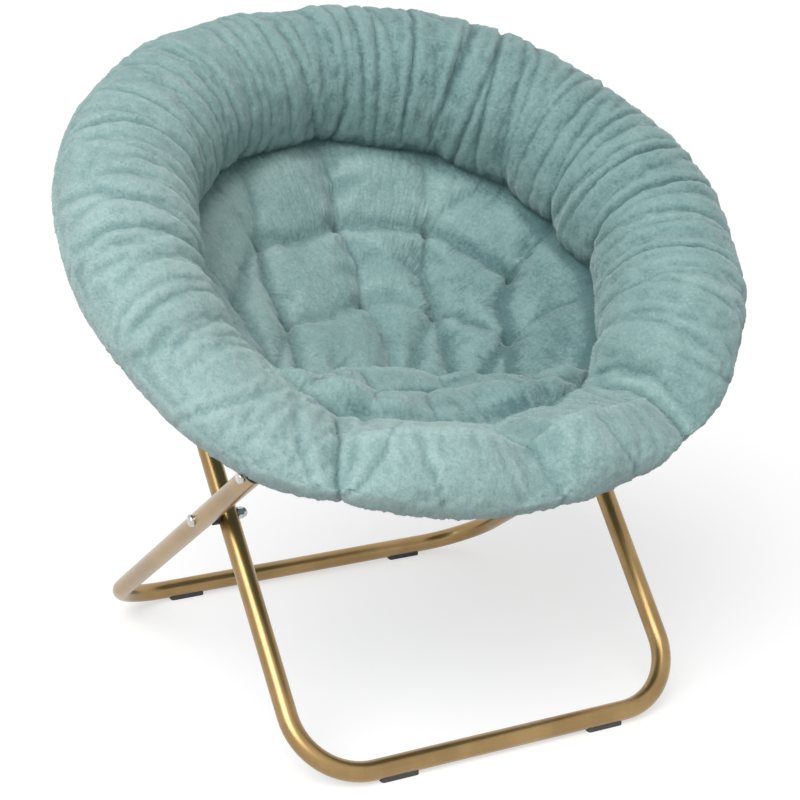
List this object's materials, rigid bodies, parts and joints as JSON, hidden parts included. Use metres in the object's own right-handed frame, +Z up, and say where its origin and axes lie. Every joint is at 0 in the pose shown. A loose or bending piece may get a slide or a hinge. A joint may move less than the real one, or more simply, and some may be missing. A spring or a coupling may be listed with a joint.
{
  "type": "folding saucer chair",
  "caption": "Folding saucer chair: a tilted round padded seat with a fat rim on a hinged tube ring, carried by two crossing U-shaped tube legs.",
  "frame": {"origin": "on the floor, under the middle of the overall box", "axes": "+Z up, the sitter faces -Y, +X is to the right seen from in front of the chair"},
  "size_m": [0.8604, 0.7513, 0.8259],
  "materials": {
    "gold_paint": "satin gold paint",
    "zinc_steel": "zinc plated",
    "black_plastic": "moulded",
    "grey_plastic": "moulded",
    "plush": "short-pile plush over loose fill"
  },
  "bodies": {
    "front_leg": {"front_leg_tube": "gold_paint", "front_leg_cap_left": "black_plastic", "front_leg_cap_right": "black_plastic", "front_glide_left": "grey_plastic", "front_glide_right": "grey_plastic", "back_bolt_left": "zinc_steel", "back_bolt_right": "zinc_steel", "back_washers": "zinc_steel", "back_nuts": "zinc_steel", "pivot_stud_left": "zinc_steel", "pivot_stud_right": "zinc_steel", "pivot_nuts": "zinc_steel", "pivot_spacer_left": "black_plastic", "pivot_spacer_right": "black_plastic"},
    "rear_ring": {"rear_ring_tube": "gold_paint", "rear_lug_left": "gold_paint", "rear_lug_right": "gold_paint", "rear_hinge_leaf_left": "gold_paint", "rear_hinge_leaf_right": "gold_paint", "hinge_pin_left": "zinc_steel", "hinge_pin_right": "zinc_steel", "rear_leaf_rivets": "zinc_steel", "rim_roll_rear": "plush", "seat_pad_rear": "plush"},
    "front_ring": {"front_ring_tube": "gold_paint", "front_lug_left": "gold_paint", "front_lug_right": "gold_paint", "front_hinge_leaf_left": "gold_paint", "front_hinge_leaf_right": "gold_paint", "front_leaf_rivets": "zinc_steel", "rim_roll_front": "plush", "seat_pad_front": "plush"},
    "rear_leg": {"rear_leg_tube": "gold_paint", "rear_leg_cap_left": "black_plastic", "rear_leg_cap_right": "black_plastic", "rear_glide_left": "grey_plastic", "rear_glide_right": "grey_plastic", "front_bolt_left": "zinc_steel", "front_bolt_right": "zinc_steel", "front_washers": "zinc_steel", "front_nuts": "zinc_steel", "pivot_bolt_left": "zinc_steel", "pivot_bolt_right": "zinc_steel"}
  },
  "joints": [
    {"name": "back_tilt", "type": "hinge", "parent": "front_leg", "child": "rear_ring", "pos_m": [0, 0.30383, 0.64883], "axis": [1, 0, 0], "range_deg": [0, 20.62], "deforming": ["rim_roll_front", "rim_roll_rear", "seat_pad_front", "seat_pad_rear"]},
    {"name": "ring_fold", "type": "hinge", "parent": "rear_ring", "child": "front_ring", "pos_m": [0, -0.1124, 0.47203], "axis": [-1, 0, 0], "range_deg": [0, 150], "deforming": ["rim_roll_front", "rim_roll_rear", "seat_pad_front", "seat_pad_rear"]},
    {"name": "leg_swing", "type": "hinge", "parent": "front_ring", "child": "rear_leg", "pos_m": [0, -0.19423, 0.37629], "axis": [1, 0, 0], "range_deg": [0, 76.04], "deforming": ["rim_roll_front", "rim_roll_rear", "seat_pad_front", "seat_pad_rear"]}
  ],
  "couplings": [
    {"joint": "back_tilt", "follows": "ring_fold", "ratio": 0.13739},
    {"joint": "leg_swing", "follows": "ring_fold", "ratio": 0.50686}
  ]
}
